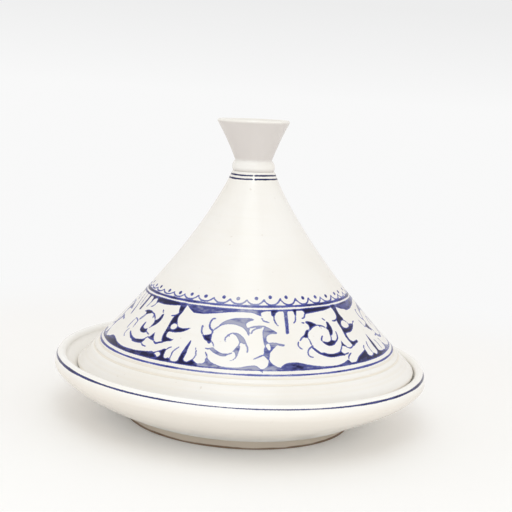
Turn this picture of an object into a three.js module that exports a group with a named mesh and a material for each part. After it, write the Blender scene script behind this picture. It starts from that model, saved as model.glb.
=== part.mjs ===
// A glazed earthenware tagine: a shallow footed dish and a bell-shaped lid with a cup knob.
// Millimetres, +Z up. The origin is on the table, on the axis of the dish.

import * as THREE from 'three';

// Flats round each turned piece
const bodyFlats = 72;
const knobFlats = 48;

// Dish
const dishRadius = 151.5;
const dishHeight = 51.5;
const footRadius = 94;
const footHeight = 8.6;
const footLean = 1.5;
const footWidth = 8.5;
const footRecess = 3.5;
const floorThickness = 8;
const floorRadius = 60;
const shoulderDrop = 10.5;
const rimRoundWidth = 9;

// Corner points of the curves, as shares of the way from the lower end in radius and in height
const bellyCornerShares = [0.892, 0.64];
const wellCornerShares = [0.54, 0];
const flankCornerShares = [0.749, 0.577];

// Seat for the lid, part of a sphere inside the rim
const seatSlope = 40;
const seatWidth = 16;
const seatClearance = 0.35;
const lidSwing = 1.45;

// Lid
const lidRimGap = 5.3;
const lidSeatHeight = 42.8;
const lidEdgeFace = 3.1;
const lidEdgeChamfer = 0.8;
const lidWall = 7;
const flankHeight = 156.2;
const neckRadius = 17;
const crownThickness = 13;
const grooveWidth = 2.4;
const grooveDepth = 0.6;
const firstGrooveReach = 17.4;
const grooveSpacing = 5.2;
const grooveCount = 2;

// Knob
const knobBaseInset = 0.5;
const knobBaseGap = 0.3;
const beadRadius = 17.3;
const beadHeight = 8.6;
const throatRadius = 15;
const knobRadius = 29.2;
const knobLean = 1.5;
const flareHeight = 30.5;
const flareBow = 1.4;
const lipThickness = 3.4;
const lipRise = 2;
const cupDepth = 20;
const cupFloorRadius = 9;

// Clay under a warm white glaze
const glazeColour = 0xf1ece2;
const glazeRoughness = 0.25;

const degree = Math.PI / 180;
const point = (radius, height) => new THREE.Vector2(radius, height);

// The lid fits inside the dish's rim
const lidRadius = dishRadius - rimRoundWidth - lidRimGap;

// The lid's lower corner lies on the seat's sphere, whose centre is straight above the dish
const seatCentreRise = lidRadius / Math.tan(seatSlope * degree);
const seatCentreHeight = lidSeatHeight + seatCentreRise;
const seatSphereRadius = lidRadius / Math.sin(seatSlope * degree) + seatClearance;

// Height of the seat at a given radius
function seatHeightAt(radius) {
  return seatCentreHeight - Math.sqrt(seatSphereRadius ** 2 - radius ** 2);
}

// A curve's corner point, at shares of the way from its lower to its upper end
function cornerAt(lower, upper, [radiusShare, heightShare]) {
  return point(
    lower.x + (upper.x - lower.x) * radiusShare,
    lower.y + (upper.y - lower.y) * heightShare,
  );
}

function bow(start, corner, end, steps) {
  return new THREE.QuadraticBezierCurve(start, corner, end).getPoints(steps);
}

// Quarter of an ellipse from one point to another, leaving the first one upright or level
function quarterRound(start, end, leavesUpright, steps) {
  const points = [];
  for (let step = 0; step <= steps; step += 1) {
    const angle = (Math.PI / 2) * (step / steps);
    const slow = 1 - Math.cos(angle);
    const fast = Math.sin(angle);
    const acrossShare = leavesUpright ? slow : fast;
    const upShare = leavesUpright ? fast : slow;
    points.push(point(
      start.x + (end.x - start.x) * acrossShare,
      start.y + (end.y - start.y) * upShare,
    ));
  }
  return points;
}

// Drops points that repeat the one before, so that no face has zero area
function withoutRepeats(points) {
  return points.filter((p, i) => i === 0 || p.distanceTo(points[i - 1]) > Number.EPSILON * p.length());
}

// Turns a profile about the upright axis
function turned(name, profile, flats) {
  const geometry = new THREE.LatheGeometry(withoutRepeats(profile), flats);
  geometry.rotateX(Math.PI / 2);
  const material = new THREE.MeshStandardMaterial({
    color: glazeColour,
    roughness: glazeRoughness,
    metalness: 0,
  });
  const mesh = new THREE.Mesh(geometry, material);
  mesh.name = name;
  return mesh;
}

// Underside with its foot ring, belly, rounded rim, seat and well
function dish() {
  const footBase = footRadius - footLean;
  const foot = [
    point(0, footRecess),
    point(footBase - footWidth - footLean, footRecess),
    point(footBase - footWidth, 0),
    point(footBase, 0),
  ];
  const bellyStart = point(footRadius, footHeight);
  const shoulder = point(dishRadius, dishHeight - shoulderDrop);
  const belly = bow(bellyStart, cornerAt(bellyStart, shoulder, bellyCornerShares), shoulder, 8);
  const crest = point(dishRadius - rimRoundWidth / 2, dishHeight);
  const rimInnerRadius = dishRadius - rimRoundWidth;
  const rimInner = point(rimInnerRadius, seatHeightAt(rimInnerRadius));
  const rimOutside = quarterRound(shoulder, crest, true, 5);
  const rimInside = quarterRound(crest, rimInner, false, 3);
  const seatSteps = 3;
  const seat = [];
  for (let step = 1; step <= seatSteps; step += 1) {
    const radius = rimInnerRadius - seatWidth * (step / seatSteps);
    seat.push(point(radius, seatHeightAt(radius)));
  }
  const wellStart = seat.at(-1);
  const floor = point(floorRadius, footRecess + floorThickness);
  const well = bow(wellStart, cornerAt(floor, wellStart, wellCornerShares), floor, 7);
  return turned('dish', [
    ...foot, ...belly, ...rimOutside, ...rimInside, ...seat, ...well, point(0, floor.y),
  ], bodyFlats);
}

// The lid's outer flank from its edge up to the neck, bowed in between
function lidFlank() {
  const edge = point(lidRadius, lidSeatHeight + lidEdgeFace);
  const neck = point(neckRadius, edge.y + flankHeight);
  return new THREE.QuadraticBezierCurve(edge, cornerAt(edge, neck, flankCornerShares), neck);
}

// A point on the flank, at a share of its length, moved inwards
function onFlank(flank, lengthShare, depth) {
  const tangent = flank.getTangentAt(lengthShare);
  return flank.getPointAt(lengthShare).add(point(-tangent.y, tangent.x).multiplyScalar(depth));
}

// The outside from edge to neck, with fine turned grooves above the smooth flange
function grooved(flank) {
  const flankLength = flank.getLength();
  const grooves = [];
  for (let groove = 0; groove < grooveCount; groove += 1) {
    const reach = firstGrooveReach + groove * grooveSpacing;
    for (const [offset, depth] of [[-grooveWidth / 2, 0], [0, grooveDepth], [grooveWidth / 2, 0]]) {
      grooves.push({ share: (reach + offset) / flankLength, depth });
    }
  }
  const first = grooves[0].share;
  const last = grooves.at(-1).share;
  const plainSteps = 16;
  const plain = [];
  for (let step = 0; step <= plainSteps; step += 1) {
    const share = step / plainSteps;
    if (share < first || share > last) plain.push({ share, depth: 0 });
  }
  return [...plain, ...grooves]
    .sort((a, b) => a.share - b.share)
    .map(({ share, depth }) => onFlank(flank, share, depth));
}

// Hollow cone with an even wall, open below and closed at the neck
function lid() {
  const flank = lidFlank();
  const neck = flank.getPoint(1);
  const cavityTop = neck.y - crownThickness;
  const cavity = [];
  const cavitySteps = 14;
  for (let step = cavitySteps; step >= 0; step -= 1) {
    const wallPoint = onFlank(flank, step / cavitySteps, lidWall);
    if (wallPoint.y > lidSeatHeight && wallPoint.y < cavityTop) cavity.push(wallPoint);
  }
  const lowest = cavity.at(-1);
  const baseTangent = flank.getTangent(0);
  const mouth = lowest.x - (lowest.y - lidSeatHeight) * (baseTangent.x / baseTangent.y);
  return turned('lid', [
    point(0, cavityTop),
    ...cavity,
    point(mouth, lidSeatHeight),
    point(lidRadius - lidEdgeChamfer, lidSeatHeight),
    point(lidRadius, lidSeatHeight + lidEdgeChamfer),
    ...grooved(flank),
    point(0, neck.y),
  ], bodyFlats);
}

// Bead collar, throat and flared cup, luted on the neck of the lid by hand and so a little out of true
function lidKnob() {
  const base = lidFlank().getPoint(1).y + knobBaseGap;
  const knobBaseRadius = neckRadius - knobBaseInset;
  const beadStart = point(knobBaseRadius, base);
  const throat = point(throatRadius, base + beadHeight);
  const beadCorner = point(2 * beadRadius - (knobBaseRadius + throatRadius) / 2, base + beadHeight / 2);
  const rim = point(knobRadius, throat.y + flareHeight);
  const flareCorner = point((throat.x + rim.x) / 2 - flareBow, (throat.y + rim.y) / 2);
  const crest = point(knobRadius - lipThickness / 2, rim.y + lipRise);
  const cupRim = point(knobRadius - lipThickness, rim.y);
  const cupFloor = point(cupFloorRadius, crest.y - cupDepth);
  const knob = turned('lid_knob', [
    point(0, base),
    ...bow(beadStart, beadCorner, throat, 6),
    ...bow(throat, flareCorner, rim, 5),
    ...quarterRound(rim, crest, true, 2),
    ...quarterRound(crest, cupRim, false, 2),
    ...bow(cupRim, cupFloor, point(0, cupFloor.y), 6),
  ], knobFlats);
  const leanPerHeight = -knobLean / (crest.y - base);
  const lean = new THREE.Matrix4().set(
    1, 0, leanPerHeight, -leanPerHeight * base,
    0, 1, 0, 0,
    0, 0, 1, 0,
    0, 0, 0, 1,
  );
  knob.geometry.applyMatrix4(lean);
  return knob;
}

// The lid swings in its seat about the sphere's centre, so its edge keeps the same gap all round
function swungLid() {
  const swing = new THREE.Group();
  swing.position.z = seatCentreHeight;
  swing.rotation.y = -lidSwing * degree;
  for (const mesh of [lid(), lidKnob()]) {
    mesh.position.z = -seatCentreHeight;
    swing.add(mesh);
  }
  return swing;
}

const tagine = new THREE.Group();
tagine.add(dish(), swungLid());

export default tagine;
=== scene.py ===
import bpy
import numpy as np
from mathutils import Matrix


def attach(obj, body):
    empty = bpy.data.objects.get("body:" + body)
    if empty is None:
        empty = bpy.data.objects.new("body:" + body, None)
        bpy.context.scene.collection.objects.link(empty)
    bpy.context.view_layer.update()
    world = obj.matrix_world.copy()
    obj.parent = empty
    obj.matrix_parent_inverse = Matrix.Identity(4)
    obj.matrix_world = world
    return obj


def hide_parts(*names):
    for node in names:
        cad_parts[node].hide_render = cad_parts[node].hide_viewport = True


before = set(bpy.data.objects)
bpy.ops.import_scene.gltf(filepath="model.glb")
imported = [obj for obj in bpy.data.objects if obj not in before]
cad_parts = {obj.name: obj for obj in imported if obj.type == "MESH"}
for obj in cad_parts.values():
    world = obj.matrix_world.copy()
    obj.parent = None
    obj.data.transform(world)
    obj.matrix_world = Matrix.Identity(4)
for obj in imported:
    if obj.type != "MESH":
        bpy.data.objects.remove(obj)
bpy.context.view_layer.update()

# The pieces are worked out in millimetres and put into the meshes in metres. The room is in metres.
mm = 0.001
fullTurn = 2 * np.pi


def say(text):
    # One line in the log for each stage
    print("tagine:", text)


def bezier(start, corner, end, steps):
    # Quadratic curve: (1-t)^2 start + 2t(1-t) corner + t^2 end
    t = np.linspace(0, 1, steps + 1)[:, None]
    return (1 - t) ** 2 * np.array(start) + 2 * t * (1 - t) * np.array(corner) + t ** 2 * np.array(end)


def quarterRound(start, end, leavesUpright, steps):
    # Quarter of an ellipse: one coordinate by the sine, the other by one minus the cosine
    angle = np.linspace(0, np.pi / 2, steps + 1)
    shares = np.c_[1 - np.cos(angle), np.sin(angle)]
    if not leavesUpright:
        shares = shares[:, ::-1]
    return start + (np.array(end) - start) * shares


def softened(corners, reach, steps=4):
    # Each inner corner becomes a small curve that starts and ends at the reach from it
    corners = [np.array(c, float) for c in corners]
    rows = [corners[0][None]]
    for before, corner, after in zip(corners, corners[1:], corners[2:]):
        start, end = (corner + side / np.hypot(*side) * min(reach, np.hypot(*side) / 2)
                      for side in (before - corner, after - corner))
        rows.append(bezier(start, corner, end, steps))
    rows.append(corners[-1][None])
    return np.vstack(rows)


def lengths(path):
    # Length of the path up to each of its points
    return np.r_[0, np.cumsum(np.hypot(*np.diff(path, axis=0).T))]


def resampled(path, spacing):
    # The same path with rows at even distances along it
    along = lengths(path)
    rows = np.linspace(0, along[-1], max(2, int(round(along[-1] / spacing)) + 1))
    return np.c_[np.interp(rows, along, path[:, 0]), np.interp(rows, along, path[:, 1])]


def joined(*paths):
    # Paths one after another, without the point they share
    kept = [paths[0]]
    for path in paths[1:]:
        kept.append(path[1:] if np.allclose(path[0], kept[-1][-1], atol=1e-6) else path)
    return np.vstack(kept)


def ramp(x, low, high):
    # 0 below low, 1 above high, and 3t^2 - 2t^3 between
    t = np.clip((x - low) / (high - low), 0, 1)
    return t * t * (3 - 2 * t)


def linked(name, data):
    # An object in the scene for a mesh, a lamp or the camera
    holder = bpy.data.objects.new(name, data)
    bpy.context.scene.collection.objects.link(holder)
    return holder


def facing(right, up, back, place):
    # The matrix of an object from its three directions and its place
    matrix = np.eye(4)
    matrix[:3] = np.c_[right, up, back, place]
    return Matrix(matrix.tolist())


def turns(count):
    # Even angles once round the axis: a full turn times k / count
    return fullTurn * np.arange(count) / count


def ringAt(angle, radius, height):
    # Places with the angle 0 in front: radius sin, -radius cos, and the height
    radius, height = (np.broadcast_to(v, angle.shape) for v in (radius, height))
    return np.c_[radius * np.sin(angle), -radius * np.cos(angle), height]


def wander(angle, height, seed, size):
    # Sum of a few slow waves round and along the piece, within about size
    draw = np.random.default_rng(seed)
    total = np.zeros(np.broadcast(angle, height).shape)
    for around, along in ((1, 0), (2, 0.02), (3, 0.05), (5, 0.09), (7, 0.16)):
        phase = draw.uniform(0, fullTurn)
        total = total + np.sin(around * angle + along * height + phase) / (1 + around)
    return size * total


def uneven(shape, angle, height, seed):
    # How far the hand left a piece inwards of its outline: handMade (1 + waves)
    return shape["handMade"] * (1 + wander(angle, height, seed, 0.9))


def ringFaces(firstA, countA, firstB, countB):
    # Two rings joined by quads cut in two, or by three triangles where one ring has half the points
    if countB > countA:
        return ringFaces(firstB, countB, firstA, countA)[:, ::-1]
    if countA == countB:
        i = np.arange(countA)
        j = (i + 1) % countA
        lower = np.c_[firstA + i, firstA + j, firstB + j]
        upper = np.c_[firstA + i, firstB + j, firstB + i]
        return np.vstack([lower, upper])
    i = np.arange(countB)
    f0 = firstA + 2 * i
    f1 = firstA + 2 * i + 1
    f2 = firstA + (2 * i + 2) % countA
    near = firstB + i
    far = firstB + (i + 1) % countB
    return np.vstack([np.c_[f0, f1, near], np.c_[f1, far, near], np.c_[f1, f2, far]])


# What a point has where its ring says nothing: depth inside the paint and of colour, bare clay, warmer glaze
# with painted shade and painted warm bounce light, and matt glaze
resting = {"ink": -3.0, "tone": 0.5, "bare": 0.0, "pool": 0.0, "matt": 0.0}


def addTurnedPiece(name, rings, material, bottomPole, topPole):
    # Closed mesh from rings of points with a pole at each end, and the points' values
    counts = [len(ring["places"]) for ring in rings]
    firsts = np.cumsum([0] + counts)
    places = np.vstack([ring["places"] for ring in rings] + [bottomPole, topPole])
    faces = [ringFaces(firsts[k], counts[k], firsts[k + 1], counts[k + 1]) for k in range(len(rings) - 1)]
    ends = ((firsts[-1], counts[0], 0, 1), (firsts[-1] + 1, counts[-1], firsts[-2], -1))
    for pole, count, first, flip in ends:
        i = np.arange(count)
        fan = np.c_[np.full(count, pole), first + (i + 1) % count, first + i]
        faces.append(fan[:, ::flip])
    faces = np.vstack(faces)
    a, b, c = (places[faces[:, k]] for k in range(3))
    if (np.cross(a, b) * c).sum() < 0:
        faces = faces[:, ::-1]
    mesh = bpy.data.meshes.new(name)
    mesh.from_pydata((places * mm).tolist(), [], faces.tolist())
    for attribute, rest in resting.items():
        values = [np.broadcast_to(ring.get(attribute, rest), count) for ring, count in zip(rings, counts)]
        values = np.concatenate(values + [[rest, rest]]).astype(np.float32)
        mesh.attributes.new(attribute, "FLOAT", "POINT").data.foreach_set("value", values)
    mesh.polygons.foreach_set("use_smooth", np.ones(len(mesh.polygons), bool))
    mesh.materials.append(material)
    mesh.update()
    say(f"{name}: {len(mesh.polygons)} faces")
    return linked(name, mesh)


def smoothPath(points, closed, steps=5):
    # Curve through every point, whose slope at a point follows its two neighbours
    points = np.array(points, float)
    if closed:
        chain = np.vstack([points[-1:], points, points[:2]])
    else:
        chain = np.vstack([2 * points[:1] - points[1:2], points, 2 * points[-1:] - points[-2:-1]])
    before, start, end, after = (chain[k:len(chain) - 3 + k, None, :] for k in range(4))
    t = np.linspace(0, 1, steps, endpoint=False)[None, :, None]
    path = 0.5 * (2 * start + (end - before) * t + (2 * before - 5 * start + 4 * end - after) * t ** 2
                  + (3 * start - before - 3 * end + after) * t ** 3)
    path = path.reshape(-1, points.shape[1])
    return path if closed else np.vstack([path, points[-1:]])


def sideDistances(places, starts, ends):
    # Distance from every place to every side, and how far along the side the nearest point is
    side = ends - starts
    fromStart = places[:, None, :] - starts[None]
    share = (fromStart * side).sum(-1) / np.maximum((side * side).sum(-1), 1e-9)
    share = np.clip(share, 0, 1)
    gap = fromStart - share[..., None] * side
    return np.hypot(gap[..., 0], gap[..., 1]), share


def patchDepth(places, outline):
    # Distance to the nearest side, positive inside, where a ray to the right crosses an odd number of sides
    starts, ends = outline, np.roll(outline, -1, axis=0)
    gap = sideDistances(places, starts, ends)[0]
    x, y = places[:, :1], places[:, 1:]
    rise = np.where(ends[:, 1] == starts[:, 1], 1e-9, ends[:, 1] - starts[:, 1])
    crossing = starts[:, 0] + (y - starts[:, 1]) * (ends[:, 0] - starts[:, 0]) / rise
    crosses = ((starts[:, 1] > y) != (ends[:, 1] > y)) & (x < crossing)
    inside = crosses.sum(1) % 2 == 1
    return np.where(inside, 1, -1) * gap.min(1)


def strokeDepth(places, path):
    # Half width of the stroke at the nearest point, less the distance to it
    gap, share = sideDistances(places, path[:-1, :2], path[1:, :2])
    half = path[:-1, 2] + share * (path[1:, 2] - path[:-1, 2])
    return (half - gap).max(1)


# The scroll is drawn as on the pot. A shape is a depth of colour and the points of a closed outline.
# With a width between them it is a stroke. A hole is an outline cut out of the paint so far. The points are
# degrees round from the front and millimetres up the flank, in turn. A point given twice is a corner.
navy, blue, wash, pale = 0.95, 0.52, 0.2, 0.0
# The paint of a stroke reaches this share of its width to either side of its points
strokeSpread = 0.67

centreUnit = [
    # Trunk on the left and its wave
    (navy, [-37.3, 79.5, -37.3, 76.5, -36.6, 72, -35.9, 70, -37.2, 67.6, -37.9, 65.5, -38, 62, -37.9, 56,
      -37.9, 50, -37.3, 46, -36.6, 44.5, -35.8, 43.75, -35.8, 43.75, -34.8, 44.75, -33.1, 45.75, -31.8, 47,
      -31.4, 50.3, -31.4, 50.3, -32.1, 47.9, -34.2, 48.5, -35.4, 49, -36, 50.5, -36.1, 52.5, -35.4, 53.6,
      -33.75, 53.5, -31.7, 54, -29.6, 55, -27.5, 57, -25.9, 59.5, -25.9, 59.5, -27.1, 59.5, -28.5, 58.75,
      -30.2, 58.5, -32.1, 59, -33.1, 60.5, -34, 63, -34.8, 66, -34.7, 68.5, -34, 71.5, -33.75, 75,
      -33.5, 79.5]),
    ("hole", [-36.3, 58.5, -35.7, 60.6, -34.6, 61, -33.4, 60, -33.1, 58.2, -33.8, 56.4, -35, 56, -36, 56.8]),
    (navy, 1.1, [-35.9, 69.75, -37.3, 67.75, -39.3, 67]),
    (navy, 1.3, [-35.8, 44, -37.3, 43.3, -38.9, 41.9, -40.4, 42.75]),
    # Wedge that hangs from the upper border
    (0.62, [-33.6, 79.6, -32.8, 77.75, -31.7, 76.5, -30, 75, -28.3, 73.5, -27.3, 73, -24.2, 73, -21.7, 73.25,
      -19.2, 74, -16, 74.75, -12.9, 75.5, -9.3, 76.5, -5, 77, -0.6, 77.1, 2.65, 76.75, 5, 75.25, 6.3, 74.5,
      7.8, 73, 7.8, 73, 7.2, 74.5, 6.8, 76, 7.2, 77.5, 8.1, 79.6]),
    (navy, 1.2, [-31.7, 77.2, -30, 75.6, -28.3, 74.1, -27.3, 73.5, -24.2, 73.5, -21.7, 73.8, -19.2, 74.5,
      -16, 75.3, -12.9, 76.1, -9.3, 77.1, -5, 77.6]),
    (wash, 1.0, [7, 72.5, 7.9, 70.5, 9, 69.75, 10.5, 69]),
    # Fan that stands on the lower border
    (navy, [-40, 30, -40, 33.75, -38.3, 34.25, -37.2, 35, -35.9, 36.25, -34.8, 37.4, -33.75, 39,
      -32.9, 38.75, -32.5, 37.5, -32.3, 34, -31.9, 32.3, -31.25, 31.6, -30.6, 32, -30.2, 32.75, -30.2, 32.75,
      -29, 31.5, -28.4, 30.2, -28.4, 29]),
    ("hole", [-36.9, 33.3, -36.2, 34.9, -35.2, 35.4, -34.3, 34.4, -34.1, 32.8, -34.8, 31.4, -35.9, 31.2,
      -36.7, 32]),
    (blue, 0.95, [-32.6, 38.4, -31.7, 40.5, -30.7, 41.5]),
    (blue, 0.95, [-29, 31.5, -29.2, 35, -29.3, 37.5, -28.6, 40, -27.5, 42.5]),
    (navy, [-26.3, 29, -25.8, 31.5, -25.7, 34, -25.5, 38, -25, 42, -24.5, 45.5, -24, 48.2, -23.4, 50.4,
      -23.4, 50.4, -23.2, 48, -23.4, 42, -23.3, 39, -23.6, 34, -23.3, 32.6, -22.7, 31.75, -21.9, 31.75,
      -20.9, 33.4, -20.3, 34.25, -19.4, 33.25, -18.3, 31.75, -17.5, 31.1, -17, 29]),
    (blue, 0.9, [-20, 34, -19.4, 37.5, -19.7, 41, -20.4, 44]),
    (blue, 0.95, [-16, 41.5, -15.2, 39.5, -14.7, 36.75]),
    # Its light tone is partly painted highlight, the lamp's reflection down the front
    (0.25, [-17.5, 29, -17.5, 31.3, -16, 32, -15.3, 33.25, -15.2, 34.5, -15.3, 36, -14.8, 37, -14.3, 36.5,
      -12.8, 33.75, -10.8, 32.25, -8.9, 31, -5, 30.6, -1.9, 31.25, 0.5, 32.5, 2.9, 33.25, 4, 33, 5, 31.5,
      5.7, 30, 5.7, 29]),
    (blue, 1.0, [5, 31, 5.7, 29.2, 6.1, 27.6]),
    # Spiral left of the middle
    (blue, 1.0, [-19.2, 55.25, -20.2, 58, -20.6, 61, -20.7, 63, -20.2, 62.3]),
    (navy, [-19.2, 55, -17.9, 55.75, -16.7, 56.25, -16, 56.9, -15.4, 56.6, -15, 55.5, -14.9, 52.5,
      -14.7, 50.5, -15.2, 48.75, -15.8, 48.75, -16.7, 50.5, -17.9, 51.75, -18.75, 53.5]),
    (blue, 1.1, [-15.4, 70, -16.25, 70, -17.1, 68.5, -17.4, 66, -17.3, 63.5, -16.5, 61.25, -15.4, 60,
      -15.2, 58, -15.4, 56.7]),
    (wash, 0.9, [-15.2, 60, -14, 62, -12.9, 63.75, -12.4, 64.6]),
    (blue, 0.9, [-14.7, 51, -13.75, 49, -13.1, 46.5]),
    # The crescent's washed tone is partly painted highlight, the lamp's reflection down the front
    (wash, [-12.9, 64.8, -12.7, 65.25, -12.1, 66.75, -10.8, 68.5, -9.3, 70, -7.1, 71.25, -5, 72, -1.7, 72.25,
      1.6, 72.4, 3.8, 71, 3.8, 71, 2.4, 70.25, 1.1, 69.5, 0, 68.25, -0.4, 66.75, 0, 65, 0.7, 64, 1.3, 63.25,
      1.2, 61, 2.2, 59.5, 1.3, 59.5, 1.2, 58, 0.8, 56.5, 0.8, 56.5, 0.5, 58.5, -0.4, 61.5, -1.5, 63.5,
      -3, 65, -5, 66, -6.7, 66.4, -8.9, 66.25, -10.8, 65.5, -12.2, 64.5]),
    (pale, 1.1, [1.3, 64.2, 2.4, 64.7, 3.7, 65.4, 5.9, 65.7, 8.1, 66]),
    (wash, 0.9, [7, 64.75, 4.8, 64, 3.5, 63, 2.5, 61.5, 2.2, 59.5]),
    (blue, 0.9, [-8.65, 51.5, -9.1, 54, -8.65, 55.75, -7.6, 57.75, -6.3, 59.25]),
    (wash, 0.8, [-8.4, 57, -7.3, 56.25]),
    (wash, [-6.3, 59.25, -5, 59.6, -3.65, 59.25, -2.35, 57.75, -1, 55.5, -0.2, 52.75, 0.2, 50.4, -0.8, 50.5,
      -1.9, 51.25, -3, 52.5, -3.9, 55.5, -4.7, 57.25, -5.8, 58.25]),
    (wash, 1.0, [-0.4, 51.5, 0, 50, 0.5, 48, 0.7, 46, 0.5, 43.75]),
    (blue, 0.9, [-3, 52, -3, 49.5, -3.2, 48]),
    # The light tone 0.36 of these two patches is partly painted highlight, the lamp's reflection down the
    # front
    (0.36, [-2.5, 49, -3.65, 48.5, -4.5, 46, -5.4, 44, -5.4, 44, -4.5, 43.4, -4.1, 41.5, -4, 39.5, -5, 37,
      -6.7, 35.75, -6.7, 35.75, -5, 36.25, -4.1, 37.5, -3.4, 39.5, -3, 42, -2.8, 44, -2.5, 46]),
    (0.36, [-14.7, 45, -13.5, 45.9, -12.1, 44.25, -10.8, 43, -9.3, 41.75, -7.8, 41.75, -7.2, 40.6,
      -7.8, 39.5, -9.3, 39.25, -10.8, 40, -12.6, 41.5, -14.1, 43.5]),
    (blue, 0.95, [-16.3, 44.6, -15.3, 44.4, -14.2, 44.8]),
    (wash, 0.95, [-7.8, 41, -6.6, 41.6, -5.4, 42.6]),
    # Trunk right of the middle, whose light tone is partly painted highlight of the lamp's reflection down
    # the front
    (0.36, [8.3, 66, 10.3, 64.5, 12, 62.75, 13.7, 60.75, 13.7, 60.75, 13.3, 59.5, 11.3, 59.5, 9.8, 58.75,
      9, 57.5, 8.6, 55.5, 8.8, 53.5, 9.4, 52.2, 10.3, 52.4, 12.4, 52.25, 14, 51.5, 16.2, 50.7, 16.2, 50.7,
      15.6, 49, 12.9, 50, 12, 48.5, 11.1, 47, 10.5, 45.5, 9.7, 44, 9.4, 41, 9.1, 38.5, 9.5, 36.5, 10.3, 34.5,
      11.8, 32.5, 13.1, 31.25, 13.6, 29, 6, 29, 7.4, 31.5, 8.3, 33.5, 8.4, 35, 8.7, 36.5, 8.3, 38.5,
      7.2, 41.2, 7.1, 44, 7.3, 47.5, 7.7, 49, 7.3, 51.5, 7.1, 55, 7, 59, 7.2, 62, 7.9, 64.5]),
    ("hole", [8.1, 49.75, 8.5, 48, 9.2, 46, 9.9, 46.5, 9.9, 49.5, 9.5, 51.2, 8.7, 51.2]),
    (blue, 0.95, [7.6, 41.9, 6.4, 41.6, 5, 40.25, 3.1, 38.5]),
    # Fan that hangs from the upper border
    (navy, [12.3, 79.8, 12.1, 77, 12.1, 75, 13.2, 74, 14.1, 75.25, 14.5, 76.75, 15.6, 77.8, 16.5, 79.8]),
    (blue, 0.95, [13.3, 74.4, 13.2, 71.5, 13.8, 68.5, 14.7, 66.25]),
    (blue, [18, 79.9, 18.7, 77.5, 18.5, 74, 18.4, 71.5, 18.1, 66, 17.7, 59.75, 18.5, 59.3, 19.2, 59.75,
      19.6, 64, 20.2, 70, 20.6, 75, 20.9, 77.6, 21.8, 79.9]),
    (navy, [23.6, 80, 24.2, 77.5, 24.3, 75.5, 25.1, 74.25, 25.6, 76.5, 26, 78, 26.8, 80]),
    (blue, 0.95, [24.7, 75, 24.4, 72.5, 23.8, 70, 22.8, 68.25]),
    (navy, [29.4, 80.3, 30.1, 77.5, 30.5, 75.25, 31.9, 75.5, 35.2, 76, 40, 76.5, 44.5, 77, 46.6, 77.5,
      49.8, 78.4, 49.8, 80.2]),
    (wash, [32.6, 79.2, 34.5, 77.7, 38, 77.9, 42, 78.2, 43.6, 78.7, 42, 79.6, 36, 79.7]),
    (blue, 1.0, [30.4, 75.9, 29.7, 73.5, 28.9, 72.25, 27.9, 71.9]),
    # Spiral on the right
    (blue, 1.0, [26.9, 68.25, 27.6, 68.1, 28.3, 68]),
    (navy, [29.1, 69, 29.7, 69.4, 31, 69.25, 32.6, 68.25, 34.1, 66.75, 35.3, 65.2, 35.3, 65.2, 34.1, 64.5,
      32.3, 63.75, 31, 62.25, 30.2, 61.5, 30.1, 63.5, 30, 66, 29.3, 67.5]),
    (navy, 1.0, [35, 65.3, 36.3, 64.75, 37.8, 64, 39.1, 62.25]),
    (blue, 0.8, [36, 63.9, 36.5, 62.4]),
    (navy, [28, 62, 28.65, 62.25, 29.7, 61.25, 28.9, 60, 28.2, 58, 27.8, 55.75, 26.9, 55.25, 26, 55.75,
      25.5, 56.75, 26.3, 58.25, 27.1, 60.25]),
    (pale, 1.1, [29.2, 61.6, 29.8, 62, 30.3, 62.4]),
    (blue, 1.0, [25.7, 57, 24.3, 55, 23.5, 53.5]),
    (blue, 0.95, [22.6, 52.5, 22.1, 50.5, 22.2, 48.5, 22.9, 46.75, 23.4, 46.25]),
    (blue, 0.95, [27.7, 55.8, 28, 52.5, 28.2, 50, 28.65, 48]),
    (blue, 0.95, [28.65, 48.5, 27.35, 47.25, 26, 45.25, 25.4, 43, 25.4, 41, 26, 39.5, 27.1, 39.1]),
    (navy, [27.7, 46.5, 28.4, 47.25, 29.3, 46.25, 30.4, 44, 31.5, 42.25, 32.8, 42.25, 34.1, 41, 36.3, 40.25,
      38.4, 40.5, 39.8, 41, 41.2, 41.75, 41.6, 40.5, 42.4, 38.5, 42.2, 37.25, 40, 37.5, 36.9, 37.25,
      34.7, 37.5, 33, 38.5, 31.3, 40, 29.7, 42, 28.4, 45]),
    (blue, 0.95, [42.2, 38.4, 43.7, 38.5, 44.8, 39]),
    (navy, 1.0, [35.3, 56, 34.9, 55, 34.3, 53.9, 33.95, 52.25, 34.3, 50.5]),
    (navy, [34.7, 51.5, 36, 50.5, 37.3, 50.6, 38.4, 51.25, 39.3, 51.75, 40.3, 51, 41.2, 49.75, 40.3, 48,
      38.5, 46.9, 36.9, 46.75, 35.4, 48, 34.4, 50]),
    (navy, 1.05, [40.8, 49.6, 41.2, 50, 42.7, 51.75, 43.7, 54.5, 44.1, 58]),
    (navy, 1.0, [39.7, 70.5, 40.3, 69.5, 40.9, 68.4]),
    (navy, [41, 67, 41.6, 67.5, 42.4, 66.25, 42.7, 64, 42.8, 61, 42.2, 58, 41.1, 55.75, 39.5, 55.25,
      39.9, 58, 39.9, 60, 39.4, 61.75, 40.3, 63.5, 40.8, 65.5]),
    (blue, 0.95, [39.9, 55.6, 39.5, 53, 39, 51.5]),
    (blue, 0.95, [43.3, 46, 42.2, 43.5, 41.1, 41.75]),
    (navy, [43.2, 46, 43.7, 47.75, 44.1, 50, 44.4, 50.6, 44.4, 50.6, 44.9, 47, 45.8, 44.75, 45.7, 43.75,
      44.5, 44.75, 43.5, 45.4]),
    (blue, 0.95, [45.4, 43.9, 47.2, 42.5, 48.7, 43, 49.8, 44]),
    (blue, 0.9, [43.1, 33.8, 43.7, 35.75, 44.8, 37.25, 46.1, 38.25]),
    # Along the lower border
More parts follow.
